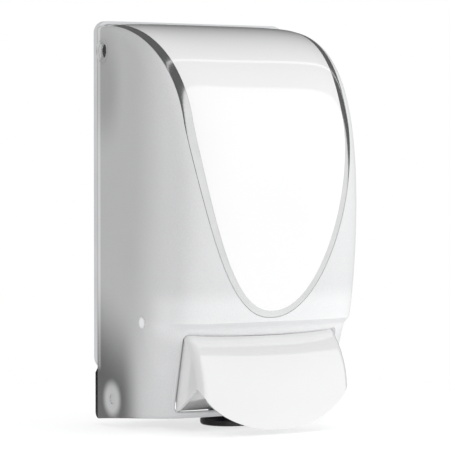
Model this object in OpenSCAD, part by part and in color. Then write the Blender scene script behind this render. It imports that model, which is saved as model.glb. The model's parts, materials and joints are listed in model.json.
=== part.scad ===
// Manual soap dispenser for a wall, with a drop-down cover over a refill cartridge.
// Millimetres. +Z is up, +Y points into the wall, and the user stands on the -Y side.
// Inside the modules, d is the distance out from the wall and h the height above the cover's lower edge.

/* [Body] */
// Width across the side walls of the cover
body_w = 130; // [124:1:138]
// Height of the wall plate's top edge above the cover's lower edge
body_h = 235; // [228:1:245]
// Depth of the cover where it is fullest
body_d = 102.5; // [100:0.5:108]
// Height at which the cover is fullest
full_h = 126; // [118:1:134]
// Wall thickness of the cover
wall = 2.6; // [2.2:0.1:3]

/* [Cover shape] */
// Length of the upper handle of the crown's curve
crown_reach = 65; // [56:1:72]
// Length of the front handle of the crown's curve
crown_rise = 79; // [66:1:84]
// Rounding of the shoulders at the wall end of the crown
top_round = 6; // [4:0.5:9]
// Depth of the rounding between the front and the side walls
front_round = 42; // [36:1:46]
// Squareness of that rounding: 2 is an ellipse and more is boxier
squareness = 4.6; // [3.4:0.1:6]
// How far the chin lies behind the fullest point
chin_back = 7.5; // [5:0.5:10]
// Height of the chin
chin_h = 60.5; // [58:0.5:61]
// How far the mouth's upper edge lies behind the chin
mouth_back = 8; // [6:0.5:10]
// How far the foot of the front lies behind the mouth's upper edge
foot_back = 12.5; // [10:0.5:15]
// Height of the foot's front edge
foot_h = 4.8; // [4:0.2:6]
// Height of the front lip below the mouth
lip_h = 3.4; // [2.8:0.2:4]
// Height of the mouth's upper edge above its lower one
mouth_h = 47; // [45:0.5:50]
// Width of the mouth for the push bar
mouth_w = 103.6; // [100:0.4:106]
// Corner radius of the mouth
mouth_r = 4; // [2:0.5:6]
// How far the mouth's upper edge dips at the middle
mouth_dip = 2; // [0:0.5:3]
// Radius of the lower rear corners
heel_r = 4; // [3.8:0.2:6]
// Distance of the lower rear edge from the wall
heel_gap = 2.5; // [2.2:0.1:3]
// Height at which the side walls step forward to clear the plate's rim
heel_h = 29; // [27:0.5:32]

/* [Panel and trim] */
// Half width of the front panel at its straight part
panel_half_w = 49.8; // [46:0.2:52]
// Height of the panel's lowest point
panel_low_h = 67.7; // [67.4:0.1:72]
// Height below which the panel narrows
panel_turn_h = 176; // [165:1:185]
// How much wider each side of the panel gets at the wall
panel_flare = 6; // [3:0.5:7]
// Width of the trim along the sides of the panel
trim_w = 5.4; // [4:0.2:6]
// Width of the trim under the panel
trim_low_w = 4.7; // [4:0.1:5.4]
// Thickness of the panel and of the trim
panel_t = 1.1; // [0.9:0.1:1.2]
// Gap between the panel, the trim and the edge of their recess
inlay_gap = 0.3; // [0.2:0.05:0.5]

/* [Wall plate] */
// Thickness of the wall plate
plate_t = 2.5; // [2:0.1:2.8]
// Depth of the rim round the wall plate
rim_d = 4.9; // [4.4:0.1:5]
// Thickness of that rim
rim_t = 2; // [1.6:0.1:2.6]
// Corner radius of the wall plate
plate_r = 7; // [5:0.5:9]
// Distance between the wall screws, side to side
screw_pitch_x = 98; // [97:0.5:100]
// Distance between the wall screws, up and down
screw_pitch_z = 132; // [124:1:140]
// Radius of the holes for the wall screws
screw_hole_r = 2.6; // [2.2:0.1:3]
// Radius of the bosses round those holes
screw_boss_r = 7; // [6:0.5:8]
// Thickness of the stiffening ribs
rib_t = 1.8; // [1.4:0.1:2.4]
// Distance between the long ribs
rib_pitch = 23; // [20:0.5:24]

/* [Hinge] */
// Distance of the hinge axis from the wall
hinge_d = 23.2; // [23:0.1:24]
// Height of the hinge axis
hinge_h = 13; // [12.5:0.1:13.4]
// Radius of the hinge pins
hinge_pin_r = 2.5; // [2:0.1:3]
// Radius of the bosses inside the cover's ears
ear_r = 7.8; // [7:0.1:7.9]
// Thickness of those bosses
ear_t = 4.6; // [4:0.2:5.4]
// Radius of the wall plate's lugs
lug_r = 6.5; // [5.5:0.5:7]
// Thickness of the wall plate's lugs
lug_t = 8; // [6:0.5:10]

/* [Release buttons] */
// Distance of the release buttons from the wall
release_d = 11.8; // [11.8:0.1:12.4]
// Distance of the release buttons below the plate's top edge
release_drop = 18; // [17:0.5:19]
// Radius of a button's tip
tip_r = 3.2; // [2.8:0.1:3.6]
// Radius of a button's guided body
button_r = 4.4; // [4:0.1:4.8]
// Travel of a button when it is pressed
button_travel = 4; // [3:0.5:4.5]
// Radius of the finger hole in the cover
eyelet_r = 5; // [4.6:0.1:5.2]
// Radius of the countersink round the finger hole
eyelet_rim_r = 6.1; // [5.6:0.1:6.2]

/* [Push bar] */
// Width of the push bar
bar_w = 100.6; // [98:0.2:100.8]
// Depth of the push bar's lower edge
bar_d = 104.5; // [103:0.5:108]
// Height of the push bar's lowest point
bar_low_h = -0.6; // [-4:0.2:2]
// Height of the push bar's lower corners
bar_corner_h = 24; // [21:0.5:27]
// How much further forward the middle of the bar is than its ends
bar_bulge = 4; // [2:0.5:5]
// Rounding of the bar's upright edges
bar_edge_r = 4.5; // [3:0.5:5.5]
// Thickness of the push bar's wall
bar_t = 3; // [2.8:0.1:3.4]
// Distance of the bar's pivot from the wall
pivot_d = 60; // [58:0.5:61]
// Height of the bar's pivot
pivot_h = 60; // [58:0.5:61]
// Radius of the pivot pins
pivot_pin_r = 2; // [1.6:0.1:2.4]
// Angle through which the bar is pressed
press_angle = 10; // [6:0.5:10.5]

/* [Refill] */
// Half width of the bottle
bottle_half_w = 46; // [42:1:48]
// Distance of the bottle from the wall
bottle_rear_d = 9; // [8:0.5:11]
// Distance between the bottle and the inside of the cover's front
bottle_gap = 19; // [18:0.5:24]
// Distance of the bottle's top below the plate's top edge
bottle_drop = 32; // [31:0.5:40]
// Radius of the bottle's neck
neck_r = 14; // [12:0.5:15]
// Radius of the bottle's cap
cap_r = 21; // [19:0.5:23]
// Height of the bottle's cap
cap_h = 13; // [11:0.5:15]

/* [Pump] */
// Distance of the pump's axis from the wall
pump_d = 46; // [45:0.5:47]
// Outer radius of the pump's cylinder
pump_r = 15.5; // [14.5:0.5:16]
// Height of the lower end of the cylinder
pump_low_h = 42.5; // [42:0.5:44]
// Radius of the piston's stem
stem_r = 6.5; // [6:0.5:7]
// Height of the piston's flange
flange_h = 27; // [26:0.5:28]
// Radius of the piston's flange
flange_r = 17; // [16.5:0.1:17.4]
// Thickness of the piston's flange
flange_t = 3; // [2.4:0.2:3.6]
// Radius of the nozzle's lower rim
nozzle_r = 16; // [14:0.5:16.5]
// How far the nozzle reaches below the cover
nozzle_below = 3; // [2:0.5:4]
// Radius of the foam outlet
outlet_r = 5; // [4.4:0.2:6]

/* [Lever] */
// Distance of the lever's pivot in front of the pump's axis
lever_ahead = 28; // [27:0.5:29]
// Height of the lever's pivot
lever_h = 42; // [41.5:0.5:43]
// Radius of the lever's pin
lever_pin_r = 2; // [1.6:0.1:2.4]
// Height of the lever's nose below its pivot
nose_below = 22; // [20:0.5:23]
// Distance of the lever's nose in front of its pivot
nose_ahead = 5; // [4:0.5:6]
// Radius of the lever's nose
nose_r = 2.5; // [2:0.1:3]
// Half distance between the fork's prongs
fork_in = 12.4; // [12:0.2:13]
// Thickness of the fork's prongs
fork_t = 3; // [2.4:0.2:3.4]

/* [Shelf] */
// Height of the shelf that carries the refill
shelf_h = 62; // [61:0.5:63]
// Thickness of the shelf
shelf_t = 3; // [2.6:0.2:3.4]
// Half width of the shelf
shelf_half_w = 40; // [38:0.5:41]
// Radius of the shelf's screws
shelf_screw_r = 1.5; // [1.2:0.1:1.8]

/* [Fits] */
// Radial clearance of a pin in its bore
pin_fit = 0.05; // [0.02:0.01:0.09]
// Gap between pieces that move past each other
run_gap = 0.4; // [0.3:0.05:0.6]

/* [Hidden] */
$fn = 48;

left = -1;
right = 1;
origin_h = body_h / 2;              // the part's origin is level with the middle of the wall screws
half_w = body_w / 2;
side_in = half_w - wall;            // inner face of the side walls
rear_gap = rim_d + run_gap;         // distance of the cover's rear edge from the wall
crown_h = body_h - 1.4;             // the plate's rim shows as a thin lip above the cover
chin_d = body_d - chin_back;
mouth_top_h = lip_h + foot_h + mouth_h;
mouth_top_d = chin_d - mouth_back;
foot_d = mouth_top_d - foot_back;
mouth_low_h = foot_h + lip_h;
pocket_t = panel_t + inlay_gap;
lever_d = pump_d + lever_ahead;
nose_d = lever_d + nose_ahead;
nose_h = lever_h - nose_below;
release_h = body_h - release_drop;
lever_ratio = 1.8;                  // turn of the lever for each degree of the push bar
lever_turn = lever_ratio * press_angle;
prong_r = 2;
prong_h = flange_h - run_gap - prong_r;
// Lift of the piston when the bar is pressed right in
press_lift = lever_ahead * sin(lever_turn) + (lever_h - prong_h) * (1 - cos(lever_turn)) - 0.1;
stations = 44;                      // steps along the cover's centre line
lanes = 10;                         // steps from the middle of the cover to a side wall

// Point and direction at t on a cubic curve with the handles p
function bez(p, t) =
    pow(1 - t, 3) * p[0] + 3 * pow(1 - t, 2) * t * p[1] + 3 * (1 - t) * t * t * p[2] + pow(t, 3) * p[3];
function bez_dir(p, t) =
    pow(1 - t, 2) * (p[1] - p[0]) + 2 * (1 - t) * t * (p[2] - p[1]) + t * t * (p[3] - p[2]);
function ease(t) = t * t * (3 - 2 * t);

crown = [[rear_gap, crown_h], [crown_reach, crown_h], [body_d, full_h + crown_rise], [body_d, full_h]];
brow_lean = 4;                      // how far the brow's curve leans out above the chin
brow = [
    [body_d, full_h], [body_d, full_h - 22],
    [chin_d + brow_lean, chin_h + 14], [chin_d, chin_h]
];

// Centre line of the cover as [d, h]: k runs from 0 at the wall over the crown to 1, then to 2 at the chin
function line_at(k) = k <= 1 ? bez(crown, k) : bez(brow, k - 1);
// Direction into the cover: square to the crown, and straight back below it
function inward(k) = let (v = bez_dir(crown, min(k, 1))) [v[1], -v[0]] / norm(v);
function rounding(k) = top_round + (front_round - top_round) * ease(min(k, 1));
// Share of the rounding that is used up at u, which is 0 in the middle and 1 at a side wall
function drop(u) = 1 - pow(1 - pow(min(u, 1), squareness), 1 / squareness);
// Point on the cover's outer skin, raised by lift
function skin(x, k, lift) =
    let (p = line_at(k) + inward(k) * (rounding(k) * drop(abs(x) / half_w) - lift))
    [x, -p[0], p[1] - origin_h];

// Height along the centre line, for finding k from a height
k_table = [for (i = [200:-1:0]) let (k = i / 100) [line_at(k)[1], k]];
function k_at(h) = lookup(h, k_table);

// Half width of the panel's outline where it is k along the centre line, grown by extra
function panel_half(k, extra) =
    let (rise = max(line_at(k)[1] - panel_turn_h, 0) / (crown_h - panel_turn_h))
    panel_half_w + extra + panel_flare * rise * rise;
// Outline of the panel as [half width, k]: straight sides down to panel_turn_h, then a rounded tongue
side_steps = 18;
tongue_steps = 14;
tongue_bend = 1.45;
tongue_round = 0.92;
panel_start = 0.02;
tongue_tip = 2.5;                   // half width of the flat at the very tip
function panel_edge(extra, extra_low) =
    let (turn = k_at(panel_turn_h), reach = panel_turn_h - panel_low_h + extra_low)
    concat(
        [for (i = [0:side_steps - 1])
            let (k = panel_start + (turn - panel_start) * i / side_steps) [panel_half(k, extra), k]],
        [for (i = [0:tongue_steps])
            let (a = 90 * i / tongue_steps)
            [max((panel_half_w + extra) * pow(cos(a), tongue_round), tongue_tip),
             k_at(panel_turn_h - reach * pow(sin(a), 2 / tongue_bend))]]
    );

// Solid through a row of rings with equally many points. The rings of a ribbon are an upper row of points
// and then the lower row backwards, and its ends are closed from row to row.
module loft(rings, ribbon = false) {
    n = len(rings[0]);
    last = len(rings) - 1;
    strip = [for (j = [0:n / 2 - 2]) each [[j, j + 1, n - 2 - j], [j, n - 2 - j, n - 1 - j]]];
    polyhedron(
        points = [for (r = rings) each r],
        faces = concat(
            ribbon ? [for (f = strip) [f[2], f[1], f[0]]] : [[for (j = [n - 1:-1:0]) j]],
            [for (i = [0:last - 1]) for (j = [0:n - 1])
                let (a = i * n + j, b = i * n + (j + 1) % n)
                each [[a, b, b + n], [a, b + n, a + n]]],
            ribbon ? [for (f = strip) f + last * [n, n, n]] : [[for (j = [0:n - 1]) last * n + j]]
        ),
        convexity = 12
    );
}

// Flat shapes drawn as [d, h] and spread from x0 to x1
module side_plate(x0, x1)
    translate([x1, 0, -origin_h]) rotate([90, 0, -90]) linear_extrude(x1 - x0) children();
// Flat shapes drawn as [x, h] and spread from depth d0 to d1
module front_plate(d0, d1)
    translate([0, -d0, -origin_h]) rotate([90, 0, 0]) linear_extrude(d1 - d0) children();
// Flat shapes drawn as [x, -d] and spread from height h0 to h1
module level_plate(h0, h1)
    translate([0, 0, h0 - origin_h]) linear_extrude(h1 - h0) children();
// Shapes drawn as [radius, h] and turned about the pump's axis
module pump_turned()
    translate([0, -pump_d, -origin_h]) rotate_extrude() children();
// Cylinder along X from x0 to x1
module x_rod(r, x0, x1, d, h)
    translate([x0, -d, h - origin_h]) rotate([0, 90, 0]) cylinder(r = r, h = x1 - x0);
// Cylinder along Y from depth d0 to d1
module y_rod(r, d0, d1, x, h)
    translate([x, -d0, h - origin_h]) rotate([90, 0, 0]) cylinder(r = r, h = d1 - d0);
module on_side(side) {
    if (side == right) children();
    else mirror([1, 0, 0]) children();
}
module both_sides() {
    children();
    mirror([1, 0, 0]) children();
}
// Rectangle from p0 to p1 with round corners
module round_rect(p0, p1, r) {
    translate([p0[0] + r, p0[1]]) square([p1[0] - p0[0] - 2 * r, p1[1] - p0[1]]);
    translate([p0[0], p0[1] + r]) square([p1[0] - p0[0], p1[1] - p0[1] - 2 * r]);
    for (x = [p0[0] + r, p1[0] - r]) for (y = [p0[1] + r, p1[1] - r]) translate([x, y]) circle(r);
}
// Coil spring along +Z with closed ends, from z = 0 to its length
module coil(r, wire_r, length, turns, steps, sides) {
    pitch = (length - 2 * wire_r) / turns;
    loft([for (i = [0:turns * steps])
        let (a = 360 * i / steps, z = wire_r + pitch * i / steps)
        [for (j = [0:sides - 1])
            let (b = 360 * j / sides, q = r + wire_r * cos(b))
            [q * cos(a), q * sin(a), z + wire_r * sin(b)]]]);
}

// ---- pieces fixed to the wall ----

ear_gap = 1;                        // between a lug and the ear beside it
tongue_half_w = side_in - ear_t - ear_gap;
tongue_low_h = hinge_h - lug_r;
plate_half_w = half_w - 0.5;
housing_out_x = side_in - 5;
housing_half = 9;
housing_lip = 1.2;                  // keeps the button in
button_out = housing_out_x - housing_lip - 0.3;
button_len = 6.5;
spring_solid = 3;                   // length of a button's spring when it is pressed flat
bore_in_x = button_out - button_len - button_travel - spring_solid;
housing_in_x = bore_in_x - rim_t;

module plate_outline() {
    round_rect([-plate_half_w, heel_h], [plate_half_w, body_h], plate_r);
    translate([-tongue_half_w, tongue_low_h]) square([2 * tongue_half_w, heel_h + plate_r - tongue_low_h]);
}

module wall_screw_places()
    for (x = [-1, 1] * screw_pitch_x / 2) for (z = [-1, 1] * screw_pitch_z / 2) translate([x, 0, z]) children();

module wall_plate() {
    boss_d = rim_d - 1;
    color("gainsboro") difference() {
        union() {
            front_plate(0, plate_t) plate_outline();
            front_plate(0, rim_d) difference() {
                round_rect([-plate_half_w, heel_h], [plate_half_w, body_h], plate_r);
                round_rect(
                    [-plate_half_w + rim_t, heel_h - plate_r],
                    [plate_half_w - rim_t, body_h - rim_t], plate_r - rim_t);
            }
            // Long ribs behind the refill, with a cross rib at each end
            front_plate(0, rim_d) {
                for (x = [-1.5:1:1.5]) translate([x * rib_pitch - rib_t / 2, shelf_h + 16])
                    square([rib_t, body_h - shelf_h - 48]);
                for (h = [shelf_h + 22, body_h - 38]) translate([-1.5 * rib_pitch, h])
                    square([3 * rib_pitch, rib_t]);
            }
            wall_screw_places() y_rod(screw_boss_r, 0, boss_d, 0, origin_h);
            // Hinge lugs
            both_sides() side_plate(tongue_half_w - lug_t, tongue_half_w) {
                translate([hinge_d, hinge_h]) circle(lug_r);
                translate([0, hinge_h - lug_r]) square([hinge_d, 2 * lug_r]);
            }
            // Housings of the release buttons
            both_sides() side_plate(housing_in_x, housing_out_x)
                round_rect([1, release_h - housing_half], [release_d + housing_half, release_h + housing_half], 3);
        }
        wall_screw_places() y_rod(screw_hole_r, -1, rim_d + 1, 0, origin_h);
        both_sides() {
            x_rod(hinge_pin_r + pin_fit, tongue_half_w - lug_t - 1, tongue_half_w + 1, hinge_d, hinge_h);
            x_rod(button_r + pin_fit, bore_in_x, housing_out_x - housing_lip, release_d, release_h);
            x_rod(tip_r + inlay_gap, bore_in_x, housing_out_x + 1, release_d, release_h);
        }
        for (x = [-1, 1] * shelf_screw_x) for (h = shelf_screw_hs)
            y_rod(shelf_screw_r, -1, plate_t + 1, x, h);
    }
}

shelf_screw_x = shelf_half_w - 8;
shelf_screw_hs = [shelf_h - 24, shelf_h + 9];
shelf_back_t = 3;
shelf_back_d = plate_t;
bracket_x = 30;
bracket_t = 4;
bracket_r = 4.4;
shelf_reach = lever_d + bracket_r;
slot_half_w = pump_r + 1.2;

module refill_shelf() {
    color("whitesmoke") difference() {
        union() {
            front_plate(shelf_back_d, shelf_back_d + shelf_back_t)
                round_rect([-shelf_half_w, shelf_h - 32], [shelf_half_w, shelf_h + 15], 4);
            level_plate(shelf_h, shelf_h + shelf_t) difference() {
                round_rect([-shelf_half_w, -shelf_reach], [shelf_half_w, -shelf_back_d], 3);
                translate([-slot_half_w, -shelf_reach - 1]) square([2 * slot_half_w, shelf_reach - pump_d + 1]);
                translate([0, -pump_d]) circle(slot_half_w);
            }
            // Gussets under the shelf and the brackets of the lever's pin
            both_sides() {
                side_plate(shelf_half_w - bracket_t, shelf_half_w) polygon([
                    [shelf_back_d, shelf_h - 30], [shelf_back_d + 5, shelf_h - 30],
                    [pump_d, shelf_h - 8], [pump_d, shelf_h + 1], [shelf_back_d, shelf_h + 1]
                ]);
                side_plate(bracket_x, bracket_x + bracket_t) {
                    translate([lever_d, lever_h]) circle(bracket_r);
                    translate([lever_d - bracket_r, lever_h]) square([2 * bracket_r, shelf_h - lever_h + 1]);
                }
                // Raised edge that keeps the cap from sliding forward
                level_plate(shelf_h + 1, shelf_h + shelf_t + 2)
                    translate([slot_half_w, -shelf_reach]) square([shelf_half_w - slot_half_w - 4, rib_t]);
            }
        }
        both_sides()
            x_rod(lever_pin_r + pin_fit, bracket_x - 1, bracket_x + bracket_t + 1, lever_d, lever_h);
        for (x = [-1, 1] * shelf_screw_x) for (h = shelf_screw_hs)
            y_rod(shelf_screw_r + pin_fit, shelf_back_d - 1, shelf_back_d + shelf_back_t + 1, x, h);
    }
}

module shelf_screws() {
    head_r = 2 * shelf_screw_r;
    head_t = 1.8;
    front = shelf_back_d + shelf_back_t;
    color("silver")
        for (x = [-1, 1] * shelf_screw_x) for (h = shelf_screw_hs) difference() {
            union() {
                y_rod(shelf_screw_r - pin_fit, 0.4, front + 0.1, x, h);
                y_rod(head_r, front, front + head_t, x, h);
            }
            front_plate(front + head_t / 2, front + head_t + 1) translate([x, h])
                for (a = [0, 90]) rotate(a) square([1.5 * head_r, 0.8], center = true);
        }
}

// Refill: a rounded bottle that stands on its cap, neck down
bottle_low_h = shelf_h + shelf_t + cap_h + 1;
bottle_top_h = body_h - bottle_drop;
bottle_front_d = body_d - wall - bottle_gap;
bottle_half_d = (bottle_front_d - bottle_rear_d) / 2;
bottle_mid_d = bottle_rear_d + bottle_half_d;

module soap_bottle() {
    shoulder_h = 20;
    crown_r = 22;
    sides = 36;
    collar_r = neck_r + 3;          // where the shoulders start, outside the round neck
    // Ring at height h: a rounded rectangle, or an ellipse when the power is 2
    function ring(h, half_x, half_d, mid, power) = [for (j = [0:sides - 1])
        let (a = -360 * j / sides, c = cos(a), s = sin(a),
            q = pow(pow(abs(c), power) + pow(abs(s), power), -1 / power))
        [half_x * q * c, -mid + half_d * q * s, h - origin_h]];
    // From the neck out to the body: t runs from 0 to 1
    function blend(t) = let (e = ease(t))
        ring(bottle_low_h + shoulder_h * t, collar_r + (bottle_half_w - collar_r) * sqrt(1 - pow(1 - t, 2)),
            collar_r + (bottle_half_d - collar_r) * sqrt(1 - pow(1 - t, 2)),
            pump_d + (bottle_mid_d - pump_d) * e, 2 + 3 * e);
    color("ghostwhite") union() {
        loft(concat(
            [for (i = [0:8]) blend(i / 8)],
            [for (i = [0:6]) let (a = 15 * i, in = crown_r * (1 - cos(a)))
                ring(bottle_top_h - crown_r * (1 - sin(a)), bottle_half_w - in, bottle_half_d - in,
                    bottle_mid_d, 5)]
        ));
        translate([0, -pump_d, shelf_h + shelf_t + 4 - origin_h])
            cylinder(r = neck_r, h = bottle_low_h - shelf_h - shelf_t);
    }
}

module bottle_cap() {
    low = shelf_h + shelf_t;
    grips = 24;
    color("white") difference() {
        pump_turned() difference() {
            union() {
                translate([0, low]) square([cap_r, cap_h - 1]);
                translate([0, low]) square([cap_r - 1, cap_h]);
            }
            translate([-1, low + 3.7]) square([1 + neck_r + inlay_gap, cap_h]);
            translate([-1, low - 1]) square([1 + stem_r + 3, cap_h]);
        }
        for (i = [0:grips - 1]) translate([0, -pump_d, low + 2 - origin_h])
            rotate(360 * i / grips) translate([cap_r + 0.3, 0]) cylinder(r = 1, h = cap_h, $fn = 16);
    }
}

pump_top_h = shelf_h + shelf_t;
pump_roof_t = 5;
pump_inner_r = pump_r - 2.5;
pump_roof_h = pump_top_h - pump_roof_t;

module pump_body() {
    color("whitesmoke") pump_turned() difference() {
        union() {
            translate([0, pump_low_h]) square([pump_r, pump_top_h - pump_low_h - inlay_gap]);
            // Spigot that seals inside the cap
            translate([0, pump_top_h - 1]) square([stem_r + 2.7, 4.4]);
        }
        translate([-1, pump_low_h - 1]) square([1 + pump_inner_r, pump_roof_h - pump_low_h + 1]);
        translate([-1, pump_low_h]) square([1 + stem_r + pin_fit, 40]);
    }
}

module lever_pin() {
    end = bracket_x + bracket_t + 1;
    color("silver") {
        x_rod(lever_pin_r, -end, end, lever_d, lever_h);
        both_sides() x_rod(lever_pin_r + 1, end - 0.6, end + 0.6, lever_d, lever_h);
    }
}

module hinge_pin(side) {
    inner = tongue_half_w - lug_t - 0.4;
    color("silver") on_side(side) {
        x_rod(hinge_pin_r, inner, side_in - 0.4, hinge_d, hinge_h);
        x_rod(hinge_pin_r + 1.2, inner - 1.2, inner, hinge_d, hinge_h);
    }
}
module hinge_pin_left() hinge_pin(left);
module hinge_pin_right() hinge_pin(right);

pump_coil_r = (pump_inner_r + stem_r) / 2;
pump_wire_r = 0.8;
module pump_spring() {
    low = flange_h + flange_t;
    color("silver") translate([0, -pump_d, low + 0.1 - origin_h])
        coil(pump_coil_r, pump_wire_r, pump_roof_h - low - 0.2, 6, 12, 5);
}

tip_out = side_in - 2.4;
module release_spring(side) {
    start = bore_in_x + 0.1;
    color("silver") on_side(side) translate([start, -release_d, release_h - origin_h]) rotate([0, 90, 0])
        coil(button_r - 1.6, 0.4, button_out - button_len - start - 0.1, 2.5, 10, 4);
}
module release_spring_left() release_spring(left);
module release_spring_right() release_spring(right);

// ---- the cover and what rides on it ----

// Side view of the cover as a ring at x = share * half width, set in from the outer skin by off
function lower_front(off) = [
    [mouth_top_d, mouth_top_h], [foot_d + 1, mouth_low_h], [foot_d - 1, foot_h + 1 + off], [foot_d - 4, foot_h + off]
];
function lane(share, off) =
    let (u = abs(share), g = drop(u), x = (half_w - off) * share)
    concat(
        [for (i = [0:stations])
            let (k = 2 * i / stations, p = line_at(k) + inward(k) * (rounding(k) * g + off))
            [x, -p[0], p[1] - origin_h]],
        [for (p = lower_front(off)) [x, -(p[0] - front_round * g - off), p[1] - origin_h]]
    );
// Rear side of the ring: the heel, its step and the edge along the plate's rim
function heel_lane(x) = [
    for (p = concat(
        [for (a = [0:22.5:90]) [heel_gap + heel_r * (1 - sin(a)), heel_r * (1 - cos(a))]],
        [[heel_gap, heel_h - 2], [rear_gap, heel_h + 1]]
    )) [x, -p[0], p[1] - origin_h]
];
shares = [for (i = [lanes:-1:-lanes]) sign(i) * pow(cos(90 * (1 - abs(i) / lanes)), 2 / squareness)];

module cover_outer() loft([for (s = shares) concat(lane(s, 0), heel_lane(half_w * s))]);
module cover_inner() intersection() {
    back = 1;                       // the hollow runs out through the back
    low = foot_h + wall;
    spare = 4;                      // the outermost lanes lie past the side walls' inner faces
    loft([for (s = shares) let (r = lane(s, wall), x = r[0][0] + (abs(s) > 0.999 ? spare * sign(s) : 0)) concat(
        [[x, back, r[0][2]]], [for (p = r) [x, p[1], p[2]]], [[x, back, low - origin_h]])]);
    side_plate(-side_in, side_in) translate([-2 * back, 0]) square([body_d + 3 * back, body_h]);
}

// Inlay on the skin between two depths, inside the panel's outline grown by extra
function across(half) = [for (i = [-5:5]) half * sin(18 * i)];
function inlay_ring(e, top, under) = concat(
    [for (x = across(e[0])) skin(x, e[1], top)],
    [for (x = across(-e[0])) skin(x, e[1], -under)]
);
module inlay(extra, extra_low, top, under) 
    loft([for (e = panel_edge(extra, extra_low)) inlay_ring(e, top, under)], ribbon = true);

mouth_half_w = mouth_w / 2;
module mouth_outline() {
    dip_r = (pow(mouth_half_w, 2) + pow(mouth_dip, 2)) / (2 * mouth_dip + 0.001);
    difference() {
        round_rect([-mouth_half_w, mouth_low_h], [mouth_half_w, mouth_top_h], mouth_r);
        translate([0, mouth_top_h - mouth_dip + dip_r]) circle(dip_r, $fn = 360);
    }
}

catch_in_r = eyelet_r + 0.3;
catch_r = catch_in_r + 2.1;
catch_rear_d = rear_gap + 0.5;
catch_t = 4.6;
pivot_boss_r = pivot_pin_r + 2.6;
pivot_boss_t = 2;
pivot_bump = 0.6;
pump_open_x = nozzle_r + 24;
pump_open_d = pump_d + nozzle_r + 4.8;
pump_open_r = 6;
bottom_open_d = hinge_d + ear_r + 3;
bottom_open_x = tongue_half_w + ear_gap / 2;

module cover_shell() {
    color("silver") difference() {
        union() {
            difference() {
                cover_outer();
                cover_inner();
                inlay(trim_w + inlay_gap, trim_low_w + inlay_gap, 2, pocket_t);
            }
            both_sides() {
                // Ears of the hinge, which stand on the cover's floor
                side_plate(side_in - ear_t, side_in + 0.5) {
                    translate([hinge_d, hinge_h]) circle(ear_r);
                    translate([hinge_d - ear_r, foot_h + 1.2]) square([2 * ear_r, hinge_h - foot_h - 1.2]);
                }
                // Sockets of the push bar's pivot
                x_rod(pivot_boss_r, side_in - pivot_boss_t, side_in + 0.5, pivot_d, pivot_h);
                x_rod(pivot_pin_r + 1.4, half_w - 1, half_w + pivot_bump, pivot_d, pivot_h);
                // Stiffening ribs inside the side walls
                side_plate(side_in - 1.2, side_in + 0.5) for (h = [90:30:180])
                    translate([rear_gap + 2, h]) square([34, rib_t]);
            }
        }
        front_plate(pivot_d - 14, body_d + 20) mouth_outline();
        // Open bottom between the ears, and round the pump's nozzle
        level_plate(-1, mouth_low_h) {
            translate([-bottom_open_x, -bottom_open_d]) square([2 * bottom_open_x, bottom_open_d + 1]);
            round_rect([-pump_open_x, -pump_open_d], [pump_open_x, -hinge_d], pump_open_r);
        }
        both_sides() {
            x_rod(hinge_pin_r + pin_fit, side_in - ear_t - 1, side_in + 0.3, hinge_d, hinge_h);
            x_rod(3, half_w - 0.6, half_w + 1, hinge_d, hinge_h);
            x_rod(eyelet_r, side_in - 0.5, half_w + 1, release_d, release_h);
            x_rod(eyelet_rim_r, half_w - 0.8, half_w + 1, release_d, release_h);
            x_rod(pivot_pin_r + pin_fit, side_in - pivot_boss_t - 1, half_w - 0.8, pivot_d, pivot_h);
        }
    }
}

// Catch round the tip of a release button, open to the rear
module cover_catch(side) color("silver") on_side(side) side_plate(side_in - catch_t, side_in) difference() {
    union() {
        translate([release_d, release_h]) circle(catch_r);
        translate([catch_rear_d, release_h - catch_r]) square([release_d - catch_rear_d, 2 * catch_r]);
    }
    translate([release_d, release_h]) circle(catch_in_r);
    translate([0, release_h - catch_in_r]) square([release_d, 2 * catch_in_r]);
}
module cover_catch_left() cover_catch(left);
module cover_catch_right() cover_catch(right);

module front_panel() color("white") inlay(0, 0, 0.1, panel_t);

module trim_strip() {
    inner = panel_edge(inlay_gap, inlay_gap);
    outer = panel_edge(trim_w, trim_low_w);
    last = len(inner) - 1;
    function section(i, side) =
        let (a = inner[i], b = outer[i], m = (a + b) / 2)
        [skin(side * b[0], b[1], 0.1), skin(side * m[0], m[1], 0.2), skin(side * a[0], a[1], 0.1),
         skin(side * a[0], a[1], -panel_t), skin(side * m[0], m[1], -panel_t), skin(side * b[0], b[1], -panel_t)];
    color("darkgray") loft(concat(
        [for (i = [0:last]) section(i, -1)],
        [for (i = [last:-1:0]) section(i, 1)]
    ), ribbon = true);
}

// Push bar: a bowed paddle between two cheeks
bar_half_w = bar_w / 2;
bar_top_h = mouth_top_h - 1.2;
bar_top_d = mouth_top_d - 3;
bar_power = 3.2;
function bar_low(x) = bar_low_h + (bar_corner_h - bar_low_h) * (1 - sqrt(1 - pow(0.96 * x / bar_half_w, 2))) / 0.72;
function bar_top(x) = bar_top_h - mouth_dip * (1 - pow(x / bar_half_w, 2));
// Depth of the bar's front at height h, in the middle
function bar_front(h) = bar_d - (bar_d - bar_top_d) * pow(max(h, 0) / bar_top_h, bar_power);
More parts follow.
